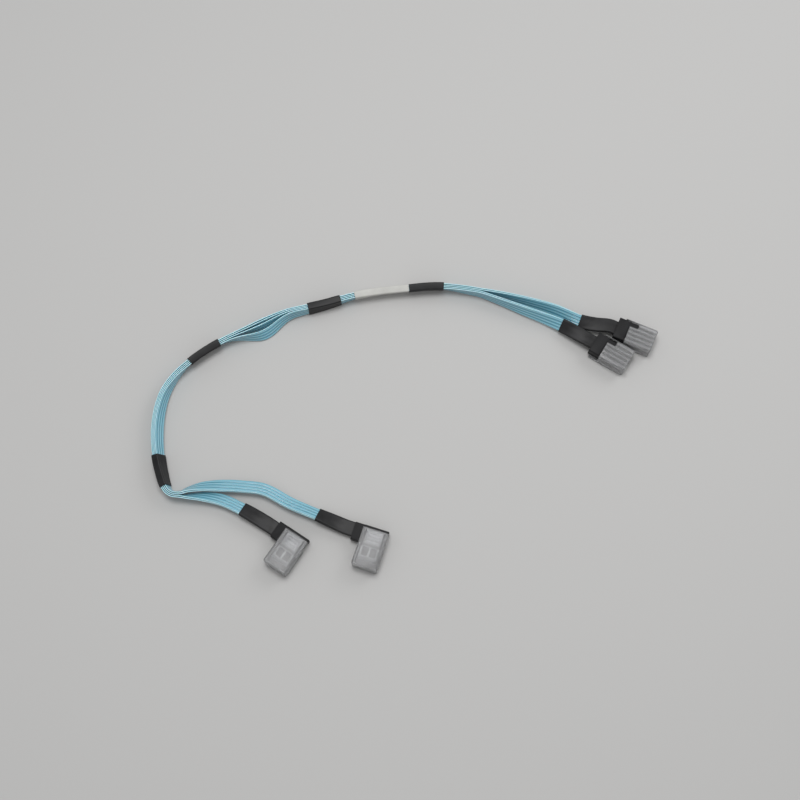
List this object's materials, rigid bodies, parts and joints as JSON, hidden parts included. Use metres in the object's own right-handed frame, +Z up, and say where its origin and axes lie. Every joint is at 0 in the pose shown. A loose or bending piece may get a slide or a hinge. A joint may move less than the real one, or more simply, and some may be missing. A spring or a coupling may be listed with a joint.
{
  "type": "mini sas cable",
  "caption": "Flat-ribbon mini SAS cables wrapped into one loom, with latched straight plugs at one end, side-exit plugs at the other and a dust cap on each.",
  "frame": {"origin": "on the surface, under the middle of the box round the rigid pieces, which are all but the ribbons", "axes": "+Z is up from the surface, +X points to the straight plugs' end, and +Y points away from the viewer of the picture"},
  "size_m": [0.3907, 0.2344, 0.0125],
  "materials": {
    "ribbon": "translucent, light blue, with fine lengthwise humps over the conductors",
    "sleeve": "heat-shrunk, black",
    "label": "bare white",
    "housing": "moulded, black",
    "card": "green board with gold pads",
    "latch": "bright stamped steel",
    "cap": "frosted and translucent"
  },
  "bodies": {
    "loom": {"ribbon_1": "ribbon", "ribbon_2": "ribbon", "ribbon_3": "ribbon", "ribbon_4": "ribbon", "wrap_1": "sleeve", "label_wrap": "label", "wrap_2": "sleeve", "wrap_3": "sleeve", "wrap_4": "sleeve", "straight_a_sleeve": "sleeve", "straight_a_latch_side_shell": "housing", "straight_a_back_shell": "housing", "straight_a_paddle_card": "card", "straight_b_sleeve": "sleeve", "straight_b_latch_side_shell": "housing", "straight_b_back_shell": "housing", "straight_b_paddle_card": "card", "side_exit_a_sleeve": "sleeve", "side_exit_a_latch_side_shell": "housing", "side_exit_a_back_shell": "housing", "side_exit_a_paddle_card": "card", "side_exit_b_sleeve": "sleeve", "side_exit_b_latch_side_shell": "housing", "side_exit_b_back_shell": "housing", "side_exit_b_paddle_card": "card"},
    "straight_a_latch": {"straight_a_latch": "latch"},
    "straight_a_dust_cap": {"straight_a_dust_cap": "cap"},
    "straight_b_latch": {"straight_b_latch": "latch"},
    "straight_b_dust_cap": {"straight_b_dust_cap": "cap"},
    "side_exit_a_latch": {"side_exit_a_latch": "latch"},
    "side_exit_a_dust_cap": {"side_exit_a_dust_cap": "cap"},
    "side_exit_b_latch": {"side_exit_b_latch": "latch"},
    "side_exit_b_dust_cap": {"side_exit_b_dust_cap": "cap"}
  },
  "joints": [
    {"name": "straight_a_latch_press", "type": "hinge", "parent": "loom", "child": "straight_a_latch", "pos_m": [0.18562, 0.06685, 0.00345], "axis": [0.4067, 0.9135, 0], "range_deg": [0, 2.5], "stiffness_Nm_per_rad": 0.35, "springref_deg": -2.5},
    {"name": "straight_a_cap_pull", "type": "slide", "parent": "loom", "child": "straight_a_dust_cap", "axis": [0.9135, -0.4067, 0], "range_m": [0, 0.034]},
    {"name": "straight_b_latch_press", "type": "hinge", "parent": "loom", "child": "straight_b_latch", "pos_m": [0.16587, 0.05175, 0.00345], "axis": [0.5299, 0.848, 0], "range_deg": [0, 2.5], "stiffness_Nm_per_rad": 0.35, "springref_deg": -2.5},
    {"name": "straight_b_cap_pull", "type": "slide", "parent": "loom", "child": "straight_b_dust_cap", "axis": [0.848, -0.5299, 0], "range_m": [0, 0.034]},
    {"name": "side_exit_a_latch_press", "type": "hinge", "parent": "loom", "child": "side_exit_a_latch", "pos_m": [-0.09679, -0.10789, 0.0083], "axis": [-0.829, 0.5592, 0], "range_deg": [0, 2.5], "stiffness_Nm_per_rad": 0.35, "springref_deg": -2.5},
    {"name": "side_exit_a_cap_pull", "type": "slide", "parent": "loom", "child": "side_exit_a_dust_cap", "axis": [-0.5592, -0.829, 0], "range_m": [0, 0.034]},
    {"name": "side_exit_b_latch_press", "type": "hinge", "parent": "loom", "child": "side_exit_b_latch", "pos_m": [-0.03149, -0.10637, 0.0083], "axis": [-0.9511, 0.309, 0], "range_deg": [0, 2.5], "stiffness_Nm_per_rad": 0.35, "springref_deg": -2.5},
    {"name": "side_exit_b_cap_pull", "type": "slide", "parent": "loom", "child": "side_exit_b_dust_cap", "axis": [-0.309, -0.9511, 0], "range_m": [0, 0.034]}
  ]
}
